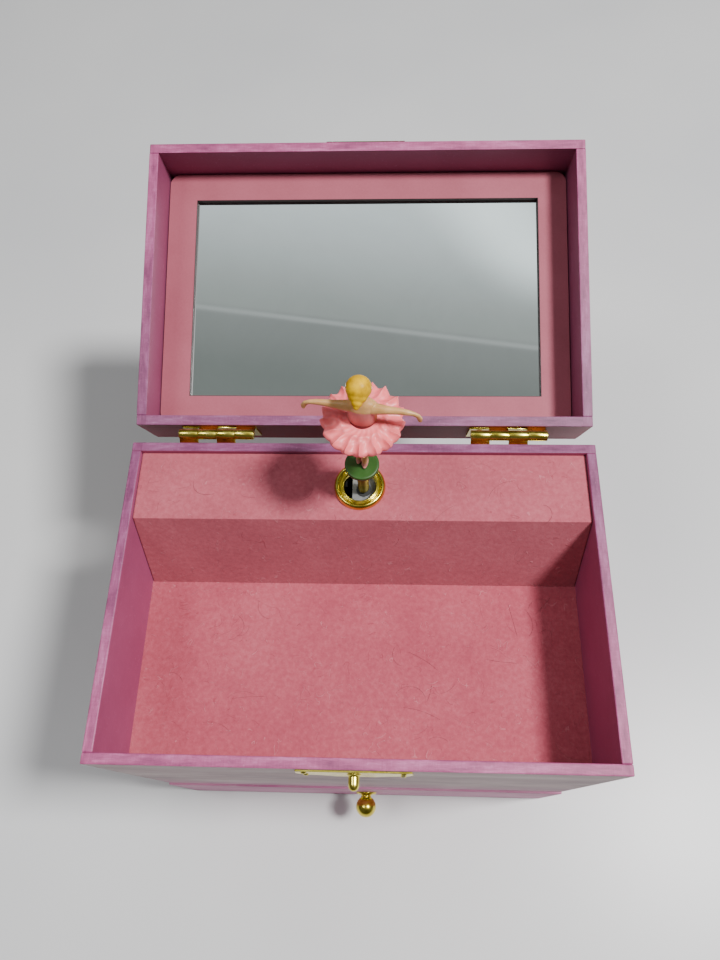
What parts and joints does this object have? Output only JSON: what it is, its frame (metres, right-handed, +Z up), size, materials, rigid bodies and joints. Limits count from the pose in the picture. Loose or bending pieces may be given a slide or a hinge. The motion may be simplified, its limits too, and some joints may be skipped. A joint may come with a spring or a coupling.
{
  "type": "ballerina jewellery box",
  "caption": "Paper-covered wooden jewellery box with a hinged mirror lid, tray, bottom drawer and a wind-up music movement that turns a small dancer on a spring.",
  "frame": {"origin": "middle of the underside of the case, on the surface that the box stands on", "axes": "+X to the right seen from the front, +Y from the front to the hinged back, +Z up; the lid is open at rest"},
  "size_m": [0.155, 0.2256, 0.2077],
  "materials": {
    "covered_board": "printed paper glued on fibreboard, satin",
    "bare_board": "plain fibreboard",
    "pink_flock": "flocked paper",
    "pink_card": "smooth flocked card",
    "backing_card": "grey board",
    "mirror_glass": "silvered glass",
    "brass_plate": "bright brass plating",
    "steel_part": "bright steel",
    "cast_bed": "die cast, as cast",
    "spring_steel": "blued spring steel",
    "coil_bronze": "dull bronze wire",
    "black_plastic": "moulded, matte",
    "green_plastic": "moulded, satin",
    "doll_skin": "moulded doll, painted skin and bodice",
    "tutu_plastic": "soft moulded plastic",
    "hair_paint": "painted hair"
  },
  "bodies": {
    "case": {"left_wall": "covered_board", "right_wall": "covered_board", "front_panel": "covered_board", "rear_wall": "covered_board", "base_panel": "bare_board", "drawer_ceiling": "bare_board", "tray_board": "bare_board", "tray_lining": "pink_flock", "music_cover": "pink_flock", "platform_grommet": "brass_plate", "clasp_plate": "brass_plate", "clasp_stud": "brass_plate", "case_nails": "brass_plate", "case_hinge_leaves": "brass_plate", "hinge_pins": "brass_plate", "movement_bed": "cast_bed", "movement_bridge": "steel_part", "shaft_bush": "black_plastic", "tone_comb": "steel_part", "movement_screws": "steel_part", "coil_spring": "coil_bronze"},
    "lid": {"lid_left_wall": "covered_board", "lid_right_wall": "covered_board", "lid_front_wall": "covered_board", "lid_rear_wall": "covered_board", "lid_top_panel": "covered_board", "mirror_frame": "pink_card", "mirror": "mirror_glass", "mirror_backing": "backing_card", "hasp_plate": "brass_plate", "hasp_pin": "brass_plate", "lid_nails": "brass_plate", "lid_hinge_leaves": "brass_plate"},
    "hasp": {"hasp_flap": "brass_plate"},
    "drawer": {"drawer_front": "covered_board", "drawer_left_side": "bare_board", "drawer_right_side": "bare_board", "drawer_back": "bare_board", "drawer_bottom": "bare_board", "drawer_lining": "pink_flock", "drawer_knob": "brass_plate", "knob_screw": "steel_part"},
    "winder": {"winding_arbor": "steel_part", "winding_key": "brass_plate"},
    "barrel": {"spring_barrel": "steel_part", "barrel_cap": "steel_part", "mainspring": "spring_steel"},
    "output": {"output_shaft": "steel_part", "output_pinion": "brass_plate"},
    "drum": {"drum_arbor": "steel_part", "drum_pinion": "brass_plate", "music_drum": "brass_plate", "drum_wheel": "brass_plate"},
    "fan": {"speed_fan": "steel_part"},
    "collar": {"spring_collar": "brass_plate"},
    "dancer": {"turntable_disc": "green_plastic", "dancer_figure": "doll_skin", "dancer_tutu": "tutu_plastic", "dancer_hair": "hair_paint"}
  },
  "joints": [
    {"name": "lid_hinge", "type": "hinge", "parent": "case", "child": "lid", "pos_m": [0, 0.05465, 0.1452], "axis": [1, 0, 0], "range_deg": [0, 162.4]},
    {"name": "hasp_hinge", "type": "hinge", "parent": "lid", "child": "hasp", "pos_m": [0, 0.15873, 0.17297], "axis": [1, 0, 0], "range_deg": [0, 180]},
    {"name": "drawer_slide", "type": "slide", "parent": "case", "child": "drawer", "axis": [0, -1, 0], "range_m": [0, 0.075]},
    {"name": "key_wind", "type": "hinge", "parent": "case", "child": "winder", "pos_m": [0.001, 0.048, 0.127], "axis": [0, 1, 0], "continuous": true},
    {"name": "barrel_spin", "type": "hinge", "parent": "case", "child": "barrel", "pos_m": [0.001, 0.043, 0.127], "axis": [0, 1, 0], "continuous": true},
    {"name": "output_spin", "type": "hinge", "parent": "case", "child": "output", "pos_m": [0.001, 0.0361, 0.138], "axis": [0, 0, 1], "continuous": true},
    {"name": "drum_spin", "type": "hinge", "parent": "case", "child": "drum", "pos_m": [-0.02, 0.0361, 0.127], "axis": [1, 0, 0], "continuous": true},
    {"name": "fan_spin", "type": "hinge", "parent": "case", "child": "fan", "pos_m": [-0.04, 0.0361, 0.1366], "axis": [1, 0, 0], "continuous": true},
    {"name": "dancer_fold", "type": "hinge", "parent": "case", "child": "collar", "pos_m": [0.001, 0.0361, 0.154], "axis": [1, 0, 0], "range_deg": [0, 105], "deforming": ["coil_spring"]},
    {"name": "dancer_spin", "type": "hinge", "parent": "collar", "child": "dancer", "pos_m": [0.001, 0.0361, 0.161], "axis": [0, 0, 1], "continuous": true}
  ],
  "couplings": [
    {"joint": "output_spin", "follows": "barrel_spin", "ratio": -3},
    {"joint": "drum_spin", "follows": "barrel_spin", "ratio": 3},
    {"joint": "fan_spin", "follows": "barrel_spin", "ratio": -9},
    {"joint": "dancer_spin", "follows": "barrel_spin", "ratio": -3},
    {"joint": "dancer_fold", "follows": "lid_hinge", "ratio": 0.6465}
  ]
}
